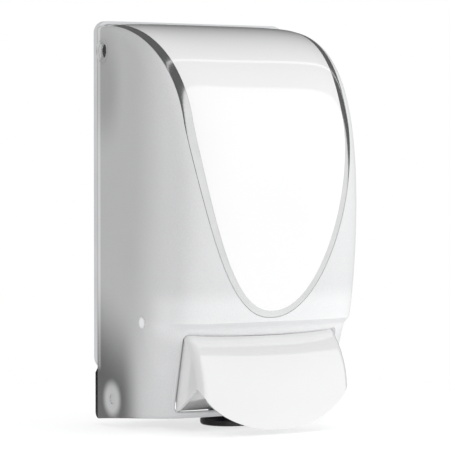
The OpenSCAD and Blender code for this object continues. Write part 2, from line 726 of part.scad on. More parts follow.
// How far the front lies back at x: a slight bow, and the rounding of the upright edge
function bar_back(x, h) =
    let (q = min(max(abs(x) - bar_half_w + bar_edge_r, 0) / bar_edge_r, 1))
    bar_bulge * pow(x / bar_half_w, 2) * (1 - h / bar_top_h) + bar_edge_r * (1 - sqrt(1 - q * q));
function bar_ring(x) = let (low = bar_low(x), high = bar_top(x), n = 11) concat(
    [for (j = [0:n]) let (h = low + (high - low) * j / n) [x, -bar_front(h) + bar_back(x, h), h - origin_h]],
    [for (j = [n:-1:0]) let (h = low + (high - low) * j / n)
        [x, -bar_front(h) + bar_back(x, h) + bar_t, h - origin_h]]
);
bar_edge_x = bar_half_w - bar_edge_r;
bar_xs = concat(
    [for (a = [90:-18:18]) -bar_edge_x - bar_edge_r * sin(a)],
    [for (i = [-6:6]) bar_edge_x * i / 6],
    [for (a = [18:18:90]) bar_edge_x + bar_edge_r * sin(a)]
);
cheek_rear_d = foot_d + 2;
cheek_low_h = mouth_low_h + 5;
cheek_t = 2.4;
cheek_step = 0.6;                   // how far the cheeks lie inside the paddle's ends

module push_bar() {
    sunk = 2.8;                     // how far the cheeks' front edges lie inside the paddle's wall
    edge = [for (h = [bar_corner_h + 2:4:bar_top_h - 1])
        [bar_front(h) - bar_bulge * (1 - h / bar_top_h) - sunk, h]];
    color("white") union() {
        loft([for (x = bar_xs) bar_ring(x)], ribbon = true);
        both_sides() side_plate(bar_half_w - cheek_t - cheek_step, bar_half_w - cheek_step) polygon(concat(
            [[cheek_rear_d, cheek_low_h], [cheek_rear_d + 2, cheek_low_h - 1]], edge,
            [[bar_top_d - bar_edge_r - 2, bar_top_h - 2]]
        ));
    }
}

// Frame that carries the push bar: two cranked arms, a beam and the finger that works the lever
arm_out_x = side_in - pivot_boss_t - run_gap;
arm_t = 3;
arm_in_x = bar_half_w - cheek_step - cheek_t;
finger_d = nose_d + nose_r + run_gap;
finger_half_w = 9;
finger_low_h = nose_h - 6;
beam_h = nose_h + 10;
beam_t = 4;
beam_tall = 10;

module bar_carrier() {
    color("snow") difference() {
        union() {
            both_sides() intersection() {
                // Plan of one arm
                level_plate(0, pivot_h + 20) polygon([
                    [arm_out_x, -pivot_d + 5.5], [arm_out_x, -pivot_d - 2], [arm_in_x, -cheek_rear_d - 1],
                    [arm_in_x, -bar_top_d], [arm_in_x - arm_t, -bar_top_d], [arm_in_x - arm_t, -cheek_rear_d + 1],
                    [arm_out_x - arm_t, -pivot_d], [arm_out_x - arm_t, -pivot_d + 5.5]
                ]);
                // Side view of the arm, fanned out towards the bar
                side_plate(0, half_w) {
                    translate([pivot_d, pivot_h]) circle(5);
                    polygon([
                        [pivot_d - 5, pivot_h], [cheek_rear_d - 7, cheek_low_h + 13.5], [cheek_rear_d + 5, cheek_low_h + 8],
                        [bar_top_d + 1, beam_h - 4], [bar_top_d - 5, bar_top_h - 8], [pivot_d + 2, pivot_h + 4.5]
                    ]);
                }
            }
            // Beam across the bar, its ribs and the finger
            side_plate(-arm_in_x, arm_in_x)
                translate([finger_d + 1, beam_h]) square([beam_t, beam_tall]);
            side_plate(-finger_half_w, finger_half_w)
                round_rect([finger_d, finger_low_h], [finger_d + beam_t, beam_h + beam_tall], 1);
        }
        both_sides() x_rod(pivot_pin_r + pin_fit, arm_out_x - arm_t - 4, arm_out_x + 1, pivot_d, pivot_h);
    }
}

bar_pin_in_x = arm_out_x - arm_t - 10.4;  // the springs sit inside the cranked arms
module bar_pin(side) color("silver") on_side(side)
    x_rod(pivot_pin_r, bar_pin_in_x, half_w - 1.2, pivot_d, pivot_h);
module bar_pin_left() bar_pin(left);
module bar_pin_right() bar_pin(right);

module bar_spring(side) color("silver") on_side(side)
    translate([bar_pin_in_x + 0.4, -pivot_d, pivot_h - origin_h]) rotate([0, 90, 0])
        coil(pivot_pin_r + 1, 0.6, 6.2, 4, 10, 4);
module bar_spring_left() bar_spring(left);
module bar_spring_right() bar_spring(right);

// ---- the pump's moving pieces ----

module actuator_lever() {
    hub_r = lever_pin_r + 2.2;
    under_d = pump_d + flange_r - 1;    // the prongs run level under the flange, then rise to the pivot
    color("dodgerblue") difference() {
        union() {
            x_rod(hub_r, -bracket_x + 1, bracket_x - 1, lever_d, lever_h);
            // Prongs of the fork under the piston's flange
            both_sides() side_plate(fork_in, fork_in + fork_t) {
                translate([pump_d, prong_h]) circle(prong_r);
                polygon([
                    [pump_d, prong_h + prong_r], [pump_d, prong_h - prong_r], [under_d, prong_h - prong_r],
                    [lever_d, lever_h - hub_r], [lever_d + 2, lever_h], [lever_d - 2, lever_h + 1],
                    [under_d - 1, prong_h + prong_r]
                ]);
            }
            // Leg down to the nose
            side_plate(-finger_half_w, finger_half_w) {
                polygon([
                    [lever_d - 3, lever_h], [nose_d - nose_r, nose_h], [nose_d, nose_h],
                    [nose_d + 1, nose_h + 2], [lever_d + 3.5, lever_h - 2]
                ]);
                translate([nose_d, nose_h]) circle(nose_r);
            }
        }
        x_rod(lever_pin_r + pin_fit, -bracket_x, bracket_x, lever_d, lever_h);
    }
}

stem_top_h = pump_roof_h - press_lift - 1.5 + pump_roof_t + 3;
module pump_piston() {
    color("ghostwhite") pump_turned() difference() {
        union() {
            translate([0, flange_h]) square([stem_r, stem_top_h - flange_h]);
            translate([0, flange_h]) square([flange_r, flange_t]);
            translate([0, flange_h - 6]) square([stem_r + 0.5, 6]);
        }
        translate([-1, flange_h - 7]) square([1 + stem_r - 2.5, 60]);
    }
}

module foam_nozzle() {
    low = -nozzle_below;
    tube_r = fork_in - 1.2;
    rim_round = 1.5;
    color("dimgray") pump_turned() difference() {
        union() {
            translate([0, low]) square([tube_r, flange_h - low]);
            translate([0, low]) square([nozzle_r - rim_round, 3]);
            translate([0, low + rim_round]) square([nozzle_r, 3 - rim_round]);
            translate([nozzle_r - rim_round, low + rim_round]) circle(rim_round);
            translate([0, low + 3]) polygon([[0, 0], [nozzle_r, 0], [tube_r, 4], [0, 4]]);
        }
        translate([-1, low - 1]) square([1 + outlet_r, 13]);
        translate([-1, flange_h - 6]) square([1 + stem_r + 0.55, 7]);
    }
}

module release_button(side) {
    body_end = button_out;
    color("white") on_side(side) difference() {
        union() {
            x_rod(button_r, body_end - button_len, body_end, release_d, release_h);
            x_rod(tip_r, body_end - 0.5, tip_out, release_d, release_h);
        }
        // C-shaped groove in the tip
        difference() {
            x_rod(tip_r - 0.9, tip_out - 0.8, tip_out + 1, release_d, release_h);
            x_rod(tip_r - 2, tip_out - 0.8, tip_out + 1, release_d, release_h);
        }
    }
}
module release_button_left() release_button(left);
module release_button_right() release_button(right);

wall_plate();
refill_shelf();
shelf_screws();
soap_bottle();
bottle_cap();
pump_body();
lever_pin();
hinge_pin_left();
hinge_pin_right();
pump_spring();
release_spring_left();
release_spring_right();
cover_shell();
cover_catch_left();
cover_catch_right();
front_panel();
trim_strip();
bar_spring_left();
bar_spring_right();
push_bar();
bar_carrier();
bar_pin_left();
bar_pin_right();
actuator_lever();
pump_piston();
foam_nozzle();
release_button_left();
release_button_right();
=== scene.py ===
import json
import math
import bmesh
import bpy
import numpy as np
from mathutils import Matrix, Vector


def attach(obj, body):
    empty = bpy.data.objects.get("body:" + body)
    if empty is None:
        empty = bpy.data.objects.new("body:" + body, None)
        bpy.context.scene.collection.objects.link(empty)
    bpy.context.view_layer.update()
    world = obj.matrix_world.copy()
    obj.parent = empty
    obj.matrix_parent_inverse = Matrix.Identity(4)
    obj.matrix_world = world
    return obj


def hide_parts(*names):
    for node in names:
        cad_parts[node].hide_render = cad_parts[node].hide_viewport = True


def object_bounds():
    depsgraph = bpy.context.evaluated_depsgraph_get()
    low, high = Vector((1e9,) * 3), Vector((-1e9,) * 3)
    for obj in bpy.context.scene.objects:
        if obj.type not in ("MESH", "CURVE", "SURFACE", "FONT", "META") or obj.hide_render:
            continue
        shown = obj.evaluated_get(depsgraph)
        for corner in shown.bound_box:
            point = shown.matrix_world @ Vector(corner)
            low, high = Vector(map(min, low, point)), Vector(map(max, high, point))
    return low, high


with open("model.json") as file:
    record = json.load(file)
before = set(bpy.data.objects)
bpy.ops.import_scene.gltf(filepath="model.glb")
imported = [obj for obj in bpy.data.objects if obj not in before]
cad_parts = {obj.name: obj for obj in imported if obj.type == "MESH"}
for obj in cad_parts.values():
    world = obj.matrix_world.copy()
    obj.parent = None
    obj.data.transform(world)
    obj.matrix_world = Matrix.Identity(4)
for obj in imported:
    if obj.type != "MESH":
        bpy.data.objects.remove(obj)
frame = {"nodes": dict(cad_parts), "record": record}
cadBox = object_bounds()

print("stage: the packed model is loaded")

# Depth d is the distance out from the wall and height h is above the cover's lower edge, both in millimetres
millimetre = 0.001
middleHeight = 117.5      # the wall screws' middle, which is z = 0

# Cover: pairs are a depth and a height; lanes run across each half and stations down the front
coverForm = {
    "halfWidth": 65.0, "wall": 2.6, "rearGap": 5.3, "crownHeight": 233.6, "fullDepth": 102.5,
    "fullHeight": 126.0, "crownReach": 65.0, "crownRise": 79.0, "topRound": 6.0, "frontRound": 42.0,
    "squareness": 4.6, "chinDepth": 95.0, "chinHeight": 60.5, "browLean": 4.0, "browFall": 22.0,
    "browRise": 14.0, "mouthTop": (87.0, 55.2), "footFront": (75.5, 8.2), "footUnder": (73.5, 5.8),
    "footRear": (70.5, 4.8), "floorTurn": 7.0, "heelGap": 2.5, "heelRound": 4.0, "heelHeight": 29.0,
    "heelBelow": 2.0, "heelAbove": 1.0, "heelStep": 7.5, "innerFloor": 7.4, "lanes": 150, "stations": 170,
    "firstStation": 0.06, "topRows": 6, "sharpAngle": 32,
}


# Makes a piece from points in millimetres and faces; its object stays at the origin
def makePiece(name, points, faces, smooth=True):
    mesh = bpy.data.meshes.new(name)
    mesh.from_pydata((np.asarray(points, float) * millimetre).tolist(), [], [list(f) for f in faces])
    mesh.validate()
    mesh.polygons.foreach_set("use_smooth", np.full(len(mesh.polygons), smooth))
    piece = bpy.data.objects.new(name, mesh)
    bpy.context.scene.collection.objects.link(piece)
    return piece


# Faces of a grid of rows by columns, numbered row by row; a closed grid joins its last column to its first
def gridFaces(rows, columns, closed=False, start=0):
    index = start + np.arange(rows * columns).reshape(rows, columns)
    if closed:
        index = np.concatenate([index, index[:, :1]], axis=1)
    quads = np.stack([index[:-1, :-1], index[:-1, 1:], index[1:, 1:], index[1:, :-1]], axis=-1)
    return quads.reshape(-1, 4).tolist()


# Ring after ring of equally many points, each ring closed, with a flat face over each end
def loftFaces(rows, columns, capped=True):
    faces = gridFaces(rows, columns, closed=True)
    if capped:
        faces += [list(range(columns))[::-1], list(range((rows - 1) * columns, rows * columns))]
    return faces


def xyz(x, d, h):      # from side, depth and height to the frame's x, y and z
    y, z = -np.asarray(d, float), np.asarray(h, float) - middleHeight
    return np.stack(np.broadcast_arrays(x, y, z), axis=-1)


mergeClose, mergeWide = 1e-6, 1e-5      # metres within which doubles are merged


# Turns a mesh's faces outward after its doubles are merged
def faceOutward(piece, mergeBy=mergeClose):
    work = bmesh.new()
    work.from_mesh(piece.data)
    bmesh.ops.remove_doubles(work, verts=work.verts, dist=mergeBy)
    bmesh.ops.recalc_face_normals(work, faces=work.faces)
    work.to_mesh(piece.data)
    work.free()
    return piece


# Cuts or joins a piece with another closed one, settles the result in its mesh and removes the other
def combine(piece, other, operation="DIFFERENCE"):
    step = piece.modifiers.new("combine", "BOOLEAN")
    step.operation, step.solver, step.object = operation, "MANIFOLD", other
    settled = bpy.data.meshes.new_from_object(piece.evaluated_get(bpy.context.evaluated_depsgraph_get()))
    piece.modifiers.clear()
    old, piece.data = piece.data, settled
    bpy.data.meshes.remove(old)
    bpy.data.objects.remove(other)
    return piece


def sharpen(piece, angle):      # smooth shading that breaks where faces meet at more than the angle
    piece.data.polygons.foreach_set("use_smooth", np.full(len(piece.data.polygons), True))
    piece.data.set_sharp_from_angle(angle=math.radians(angle))
    return piece


# Cubic curve: its four handles weighted by the Bernstein polynomials of t; slope is its derivative
def cubic(handles, t):
    a, b, c, d = np.asarray(handles, float)
    t = np.asarray(t, float)[..., None]
    return (1 - t) ** 3 * a + 3 * (1 - t) ** 2 * t * b + 3 * (1 - t) * t ** 2 * c + t ** 3 * d


def cubicSlope(handles, t):
    a, b, c, d = np.asarray(handles, float)
    t = np.asarray(t, float)[..., None]
    return (1 - t) ** 2 * (b - a) + 2 * (1 - t) * t * (c - b) + t ** 2 * (d - c)


def ease(t):
    return t * t * (3 - 2 * t)


f = coverForm
crown = [
    (f["rearGap"], f["crownHeight"]), (f["crownReach"], f["crownHeight"]),
    (f["fullDepth"], f["fullHeight"] + f["crownRise"]), (f["fullDepth"], f["fullHeight"]),
]
brow = [
    (f["fullDepth"], f["fullHeight"]), (f["fullDepth"], f["fullHeight"] - f["browFall"]),
    (f["chinDepth"] + f["browLean"], f["chinHeight"] + f["browRise"]), (f["chinDepth"], f["chinHeight"]),
]


# Centre line of the cover: k runs from 0 at the wall over the crown to 1, then down the brow to 2 at the chin
def lineAt(k):
    k = np.asarray(k, float)[..., None]
    above, below = np.minimum(k[..., 0], 1), np.maximum(k[..., 0] - 1, 0)
    return np.where(k <= 1, cubic(crown, above), cubic(brow, below))


# Direction into the cover: square to the crown, and straight back below it
def inward(k):
    v = cubicSlope(crown, np.minimum(k, 1))
    n = np.stack([v[..., 1], -v[..., 0]], axis=-1)
    return n / np.linalg.norm(n, axis=-1, keepdims=True)


def rounding(k):      # depth of the shoulder, eased from the small one at the wall to the large one in front
    return f["topRound"] + (f["frontRound"] - f["topRound"]) * ease(np.minimum(k, 1))


def drop(u):          # share of the shoulder used at u: 1 minus the height of a superellipse
    p = f["squareness"]
    return 1 - (1 - np.minimum(np.abs(u), 1) ** p) ** (1 / p)


# Skin of the cover: the centre line's point, moved inward by the shoulder's share at x and outward by lift
def skin(x, k, lift=0.0):
    x, k, lift = np.broadcast_arrays(x, k, lift)
    p = lineAt(k) + inward(k) * (rounding(k) * drop(x / f["halfWidth"]) - lift)[..., None]
    return xyz(x, p[..., 0], p[..., 1])


# The flat pattern of the centre line: length along it against k and against height
kFine = np.linspace(0, 2, 4001)
lineFine = lineAt(kFine)
lengthFine = np.concatenate([[0], np.cumsum(np.linalg.norm(np.diff(lineFine, axis=0), axis=1))])


def kAtHeight(h):
    return np.interp(-np.asarray(h, float), -lineFine[:, 1], kFine)


def lengthAt(k):
    return np.interp(k, kFine, lengthFine)


def kAtLength(length):
    return np.interp(length, lengthFine, kFine)


chin = (f["chinDepth"], f["chinHeight"])
lowerFront = [chin, f["mouthTop"], f["footFront"], f["footUnder"], f["footRear"]]


# Front below the chin: depth by height, straight from each mark to the next
def lowerDepth(h):
    depths, heights = np.array(lowerFront[::-1]).T
    return np.interp(h, heights, depths)


# Rounds a side view where it turns: each round cuts every side at a quarter and at three quarters
def softened(points, rounds=3):
    p = np.asarray(points, float)
    for _ in range(rounds):
        near, far = 0.75 * p[:-1] + 0.25 * p[1:], 0.25 * p[:-1] + 0.75 * p[1:]
        cut = np.stack([near, far], axis=1).reshape(-1, p.shape[-1])
        p = np.concatenate([p[:1], cut, p[-1:]])
    return p


# Cover as a loft of side views, set in by off: one view for each share of the half width, from the wall
# over the crown, down the front and back to the wall; the shares crowd where the shoulder is tightest
def coverRings(off, rear):
    lanes = f["lanes"]
    i = np.arange(lanes, -lanes - 1, -1) / lanes
    shares = np.sign(i) * np.cos(np.pi / 2 * (1 - np.abs(i))) ** (2 / f["squareness"])
    k = 2 * (1 - np.cos(np.linspace(f["firstStation"], 1, f["stations"]) * np.pi / 2))
    k = np.concatenate([np.linspace(0, k[0], f["topRows"])[:-1], k * 2 / k[-1]])
    g = drop(shares)[:, None, None]
    body = lineAt(k)[None] + inward(k)[None] * (rounding(k)[None, :, None] * g + off)
    x = (f["halfWidth"] - off) * shares
    low = softened(lowerFront)[1:][None]
    under = low - np.array([1.0, 0.0]) * (f["frontRound"] * g + off)
    under[..., 1] = np.where(low[..., 1] < f["floorTurn"], low[..., 1] + off, low[..., 1])
    ring = np.concatenate([body, under, np.broadcast_to(rear, (len(x),) + rear.shape)], axis=1)
    return xyz(x[:, None], ring[..., 0], ring[..., 1])


# Openings and small features: a depth, a height and a radius, and where it has one how far it stands out;
# the recess is its width beside and below the panel, then its two lifts from the skin
coverCuts = {
    "mouthHalf": 51.8, "mouthLow": 8.2, "mouthHigh": 55.2, "mouthRound": 4.0, "mouthDip": 2.0,
    "mouthDepths": (46.0, 122.0), "recess": (5.7, 5.0, 2.0, -1.4),
    "bottomHalf": 57.3, "bottomDepth": 34.0, "bottomHeights": (-1.0, 8.2),
    "pumpHalf": 40.0, "pumpRear": 20.0, "pumpDepth": 66.8, "pumpRound": 6.0, "pumpHeights": (-1.5, 8.2),
    "eyelet": (11.8, 217.0, 5.0), "eyeletReach": (61.0, 67.0),
    "ear": (23.2, 13.0, 7.8), "earReach": (57.8, 63.2), "hingeDimple": (23.2, 13.0, 3.0, 0.6),
    "sideBump": (60.0, 60.0, 3.4, 0.6), "bumpRoot": 64.2, "smallSides": 40,
}


# Rounded rectangle in x and height, its top sagging in the middle as a parabola
def mouthPath(grow=0.0, cornerSteps=12, sideSteps=40):
    c = coverCuts
    hx, r = c["mouthHalf"] + grow, c["mouthRound"] + grow
    lo, hi = c["mouthLow"] - grow, c["mouthHigh"] + grow
    a = np.linspace(0, np.pi / 2, cornerSteps)
    corners = [
        (hx - r + r * np.cos(a), hi - r + r * np.sin(a)), (-hx + r - r * np.sin(a), hi - r + r * np.cos(a)),
        (-hx + r - r * np.cos(a), lo + r - r * np.sin(a)), (hx - r + r * np.sin(a), lo + r - r * np.cos(a)),
    ]
    path = []
    for i, (x, h) in enumerate(corners):
        path.append(np.stack([x, h], axis=1))
        nx, nh = corners[(i + 1) % 4][0][0], corners[(i + 1) % 4][1][0]
        t = np.linspace(0, 1, sideSteps)[1:-1, None]
        path.append(np.array([[x[-1], h[-1]]]) * (1 - t) + np.array([[nx, nh]]) * t)
    path = np.concatenate(path)
    sag = c["mouthDip"] * (1 - (path[:, 0] / hx) ** 2)
    path[:, 1] -= np.where(path[:, 1] > hi - r - 0.1, sag, 0)
    return path


def prism(name, path, depths):      # a flat outline in x and height, drawn out between two depths
    rings = np.stack([xyz(path[:, 0], np.full(len(path), d), path[:, 1]) for d in depths])
    return faceOutward(makePiece(name, rings.reshape(-1, 3), loftFaces(2, len(path))))


# Box between two depths; grow sets its sides out, so that no two cutters share a face
def box(name, halfWidth, depths, heights, grow=0.0):
    (low, high), x = heights, halfWidth
    low, high = low - grow, high + grow
    path = np.array([(-x, low), (x, low), (x, high), (-x, high)], float)
    return prism(name, path, depths)


def rod(name, along, radius, ends, middle, sides=64):      # a cylinder along x or along z between its ends
    a = np.linspace(0, 2 * np.pi, sides, endpoint=False)
    u, v = middle[0] + radius * np.cos(a), middle[1] + radius * np.sin(a)
    ends = np.asarray(ends, float)[:, None]
    rings = xyz(ends, u, v) if along == "x" else xyz(u, v, ends)
    return faceOutward(makePiece(name, rings.reshape(-1, 3), loftFaces(2, sides)))


# Cover: the outer loft less the inner one, then its recess, mouth, open floor, holes, bumps and ears
def makeCover():
    c, half = coverCuts, f["halfWidth"]
    a = np.radians(np.arange(0, 91, f["heelStep"]))
    heel = np.stack([f["heelGap"] + f["heelRound"] * (1 - np.sin(a)), f["heelRound"] * (1 - np.cos(a))], axis=1)
    step = [(f["heelGap"], f["heelHeight"] - f["heelBelow"]), (f["rearGap"], f["heelHeight"] + f["heelAbove"])]
    outer = coverRings(0.0, np.concatenate([heel, step]))
    shell = faceOutward(makePiece("coverShell", outer.reshape(-1, 3), loftFaces(*outer.shape[:2])))
    inner = coverRings(f["wall"], np.array([[-1.0, f["innerFloor"]]]))
    inner = np.concatenate([inner[:, :1] * [1, 0, 1] + [0, 1, 0], inner], axis=1)    # out through the back
    combine(shell, faceOutward(makePiece("hollow", inner.reshape(-1, 3), loftFaces(*inner.shape[:2]))))
    combine(shell, inlayBlock("recess", *c["recess"]))
    combine(shell, prism("mouthCut", mouthPath(), c["mouthDepths"]))
    combine(shell, box("bottomCut", c["bottomHalf"], (-3.0, c["bottomDepth"]), c["bottomHeights"]))
    wide, rear, reach, bend = c["pumpHalf"], c["pumpRear"], c["pumpDepth"], c["pumpRound"]
    combine(shell, box("pumpCut", wide, (rear, reach - bend), c["bottomHeights"], 0.2))
    combine(shell, box("pumpFront", wide - bend, (rear + 1, reach), c["bottomHeights"], 0.4))
    for side in (-1, 1):
        corner = (side * (wide - bend), reach - bend)
        combine(shell, rod("pumpCorner", "z", bend, c["pumpHeights"], corner))
        d, h, r = c["eyelet"]
        start, end = c["eyeletReach"]
        combine(shell, rod("eyeletCut", "x", r, (side * start, side * end), (d, h)))
        d, h, r, deep = c["hingeDimple"]
        combine(shell, rod("dimple", "x", r, (side * (half - deep), side * end), (d, h), c["smallSides"]))
        d, h, r, high = c["sideBump"]
        ends = (side * c["bumpRoot"], side * (half + high))
        combine(shell, rod("bump", "x", r, ends, (d, h), c["smallSides"]), "UNION")
    for side in (-1, 1):
        d, h, r = c["ear"]
        combine(shell, rod("ear", "x", r, tuple(side * x for x in c["earReach"]), (d, h)), "UNION")
    return sharpen(shell, f["sharpAngle"])


# Panel: its rim is a list of insets and lifts, and the spine is the line along its middle
panelForm = {
    "halfWidth": 49.8, "low": 67.7, "turn": 176.0, "flare": 6.0, "start": 0.02, "bend": 1.45, "round": 0.92,
    "rim": [(0.0, -1.1), (0.0, -0.62), (0.08, -0.36), (0.25, -0.12), (0.5, 0.03), (0.9, 0.1)],
    "topPoints": 60, "frontRings": 46, "backRings": 12, "spineTop": 6.0, "spineAboveLow": 42.0,
    "leastHalf": 0.8, "sharpAngle": 50,
}


# Outline of the panel as half width by k: a flared side, then a tongue whose width falls as a power of a
# cosine while its height falls as a power of a sine
def panelSide(extra, extraLow, sideSteps=150, tongueSteps=190):
    p = panelForm
    turn = kAtHeight(p["turn"])
    k = np.linspace(p["start"], turn, sideSteps, endpoint=False)
    rise = np.maximum(lineAt(k)[:, 1] - p["turn"], 0) / (f["crownHeight"] - p["turn"])
    wide = p["halfWidth"] + extra + p["flare"] * rise ** 2
    a = np.linspace(0, np.pi / 2, tongueSteps)
    tongueWide = (p["halfWidth"] + extra) * np.maximum(np.cos(a), 0) ** p["round"]
    tongueHigh = p["turn"] - (p["turn"] - p["low"] + extraLow) * np.sin(a) ** (2 / p["bend"])
    return np.concatenate([wide, tongueWide]), np.concatenate([k, kAtHeight(tongueHigh)])


# Block over the panel's outline between two lifts, as a cutter
def inlayBlock(name, extra, extraLow, top, under):
    wide, k = panelSide(extra, extraLow)
    wide = np.maximum(wide, panelForm["leastHalf"])
    across = np.sin(np.linspace(-1, 1, 41) * np.pi / 2)
    upper = skin(wide[:, None] * across, k[:, None], top)
    lower = skin(-wide[:, None] * across, k[:, None], under)
    rings = np.concatenate([upper, lower], axis=1)
    return faceOutward(makePiece(name, rings.reshape(-1, 3), loftFaces(*rings.shape[:2])))


# Panel: rings that shrink from its outline to a spine along the middle, with a rounded rim
def makePanel():
    p = panelForm
    wide, k = panelSide(0, 0)
    long = lengthAt(k)
    across = np.linspace(-1, 1, p["topPoints"])[1:-1]
    x = np.concatenate([-wide, wide[::-1][1:], -wide[0] * across])
    long = np.concatenate([long, long[::-1][1:], np.full(len(across), long[0])])
    ahead, behind = np.roll(np.stack([x, long]), -1, axis=1), np.roll(np.stack([x, long]), 1, axis=1)
    run = ahead - behind
    run /= np.maximum(np.linalg.norm(run, axis=0), 1e-9)
    spineEnd = lengthAt(kAtHeight(p["low"] + p["spineAboveLow"]))
    spine = np.clip(long, long.min() + p["spineTop"], spineEnd)

    def shrunk(ring, steps):      # rings from one of the rim's to the spine, the last on it
        ringX, ringLong, lift = ring
        shares = np.linspace(0, 1, steps)[1:]
        return [(ringX * (1 - t), ringLong * (1 - t) + spine * t, lift) for t in shares]

    rings = [(x - run[1] * inset, long + run[0] * inset, lift) for inset, lift in p["rim"]]
    rings = shrunk(rings[0], p["backRings"])[::-1] + rings + shrunk(rings[-1], p["frontRings"])
    points = np.stack([skin(ringX, kAtLength(ringLong), lift) for ringX, ringLong, lift in rings])
    panel = makePiece("frontPanel", points.reshape(-1, 3), gridFaces(*points.shape[:2], closed=True))
    return sharpen(faceOutward(panel, mergeWide), p["sharpAngle"])


trimForm = {
    "side": 5.4, "low": 4.7, "gap": 0.3, "crown": 0.06, "fullness": 0.55, "edgeLift": -0.08, "under": -1.1,
    "points": 17, "sharpAngle": 40,
}


# Trim: a crowned section, a flattened sine in its width, carried round the panel's outline
def makeTrim():
    t = trimForm
    inWide, inK = panelSide(t["gap"], t["gap"])
    outWide, outK = panelSide(t["side"], t["low"])
    u = np.linspace(0, 1, t["points"])
    lift = t["edgeLift"] + t["crown"] * np.sin(np.pi * u) ** t["fullness"]
    u = np.concatenate([u, u[::-1]])
    lift = np.concatenate([lift, np.full(t["points"], t["under"])])
    inX = np.concatenate([-inWide, inWide[::-1][1:]])
    outX = np.concatenate([-outWide, outWide[::-1][1:]])
    inL = lengthAt(np.concatenate([inK, inK[::-1][1:]]))
    outL = lengthAt(np.concatenate([outK, outK[::-1][1:]]))
    x = outX[:, None] * (1 - u) + inX[:, None] * u
    long = outL[:, None] * (1 - u) + inL[:, None] * u
    points = skin(x, kAtLength(long), lift)
    trim = makePiece("trimStrip", points.reshape(-1, 3), loftFaces(*points.shape[:2]))
    return sharpen(faceOutward(trim), t["sharpAngle"])


# Bead: a round section carried along a closed path, square to it
def bead(name, path, radius, sides=12):
    run = np.roll(path, -1, axis=0) - np.roll(path, 1, axis=0)
    run /= np.linalg.norm(run, axis=1, keepdims=True)
    up = np.cross(run, [0.0, 1.0, 0.0])
    up /= np.linalg.norm(up, axis=1, keepdims=True)
    out = np.cross(run, up)
    a = np.linspace(0, 2 * np.pi, sides, endpoint=False)[None, :, None]
    points = path[:, None] + radius * (np.cos(a) * up[:, None] + np.sin(a) * out[:, None])
    rows = np.concatenate([points, points[:1]])
    piece = makePiece(name, rows.reshape(-1, 3), gridFaces(len(rows), sides, closed=True))
    return sharpen(faceOutward(piece, mergeWide), 60)


lipForm = {"outside": 0.1, "radius": 1.2, "sunk": 0.7}


# Lip of the mouth: a bead along the mouth's edge, on the skin there
def makeMouthLip():
    path = mouthPath(lipForm["outside"])
    d = lowerDepth(path[:, 1]) - f["frontRound"] * drop(path[:, 0] / f["halfWidth"])
    return bead("mouthLip", xyz(path[:, 0], d - lipForm["sunk"], path[:, 1]), lipForm["radius"])


# Collar of each finger hole: radius and height above the side wall
ringForm = {
    "profile": [(6.9, -0.3), (6.9, 0.3), (6.6, 0.55), (6.1, 0.55), (5.7, 0.1), (5.1, -0.5), (4.3, -0.7),
                (4.0, -1.0), (4.0, -2.2), (5.0, -2.2), (5.0, -0.9), (6.3, -0.4)],
    "depth": 11.8, "height": 217.0, "steps": 96, "sharpAngle": 50,
}


# Finger rings: the collar's profile turned about each button's axis
def makeRings():
    r = ringForm
    radius, out = np.array(r["profile"]).T
    a = np.linspace(0, 2 * np.pi, r["steps"] + 1)[:, None]
    d, h = r["depth"] + radius * np.cos(a), r["height"] + radius * np.sin(a)
    rings = []
    for side in (-1, 1):
        points = xyz(side * (f["halfWidth"] + out) + 0 * a, d, h)
        ring = makePiece("fingerRing", points.reshape(-1, 3), gridFaces(len(a), len(radius), closed=True))
        rings.append(sharpen(faceOutward(ring, mergeWide), r["sharpAngle"]))
    return rings


# Push bar: arc is the part of the lower edge's ellipse that the half width takes, and arcDrop its fall
barForm = {
    "halfWidth": 50.3, "depth": 104.5, "low": -0.6, "cornerHeight": 24.0, "bulge": 4.0, "edge": 4.5,
    "arc": 0.96, "arcDrop": 0.72, "topHeight": 54.0, "topSag": 2.0, "topDepth": 84.0, "power": 3.2,
    "cheekRear": 73.0, "cheekLow": 9.4, "cheekBack": 2.0, "thickness": 2.4, "soften": 0.7,
    "frontPoints": 61, "edgePoints": 15, "cheekPoints": 13, "rows": 90,
    "pan": (20.0, 48.4), "panRear": (73.6, 9.8), "panFront": (94.5, 24.6), "panThickness": 1.6,
}


# Front of the bar in the middle: a power of the height takes it back to the mouth's top edge
def barDepth(h):
    b = barForm
    return b["depth"] - (b["depth"] - b["topDepth"]) * (np.maximum(h, 0) / b["topHeight"]) ** b["power"]


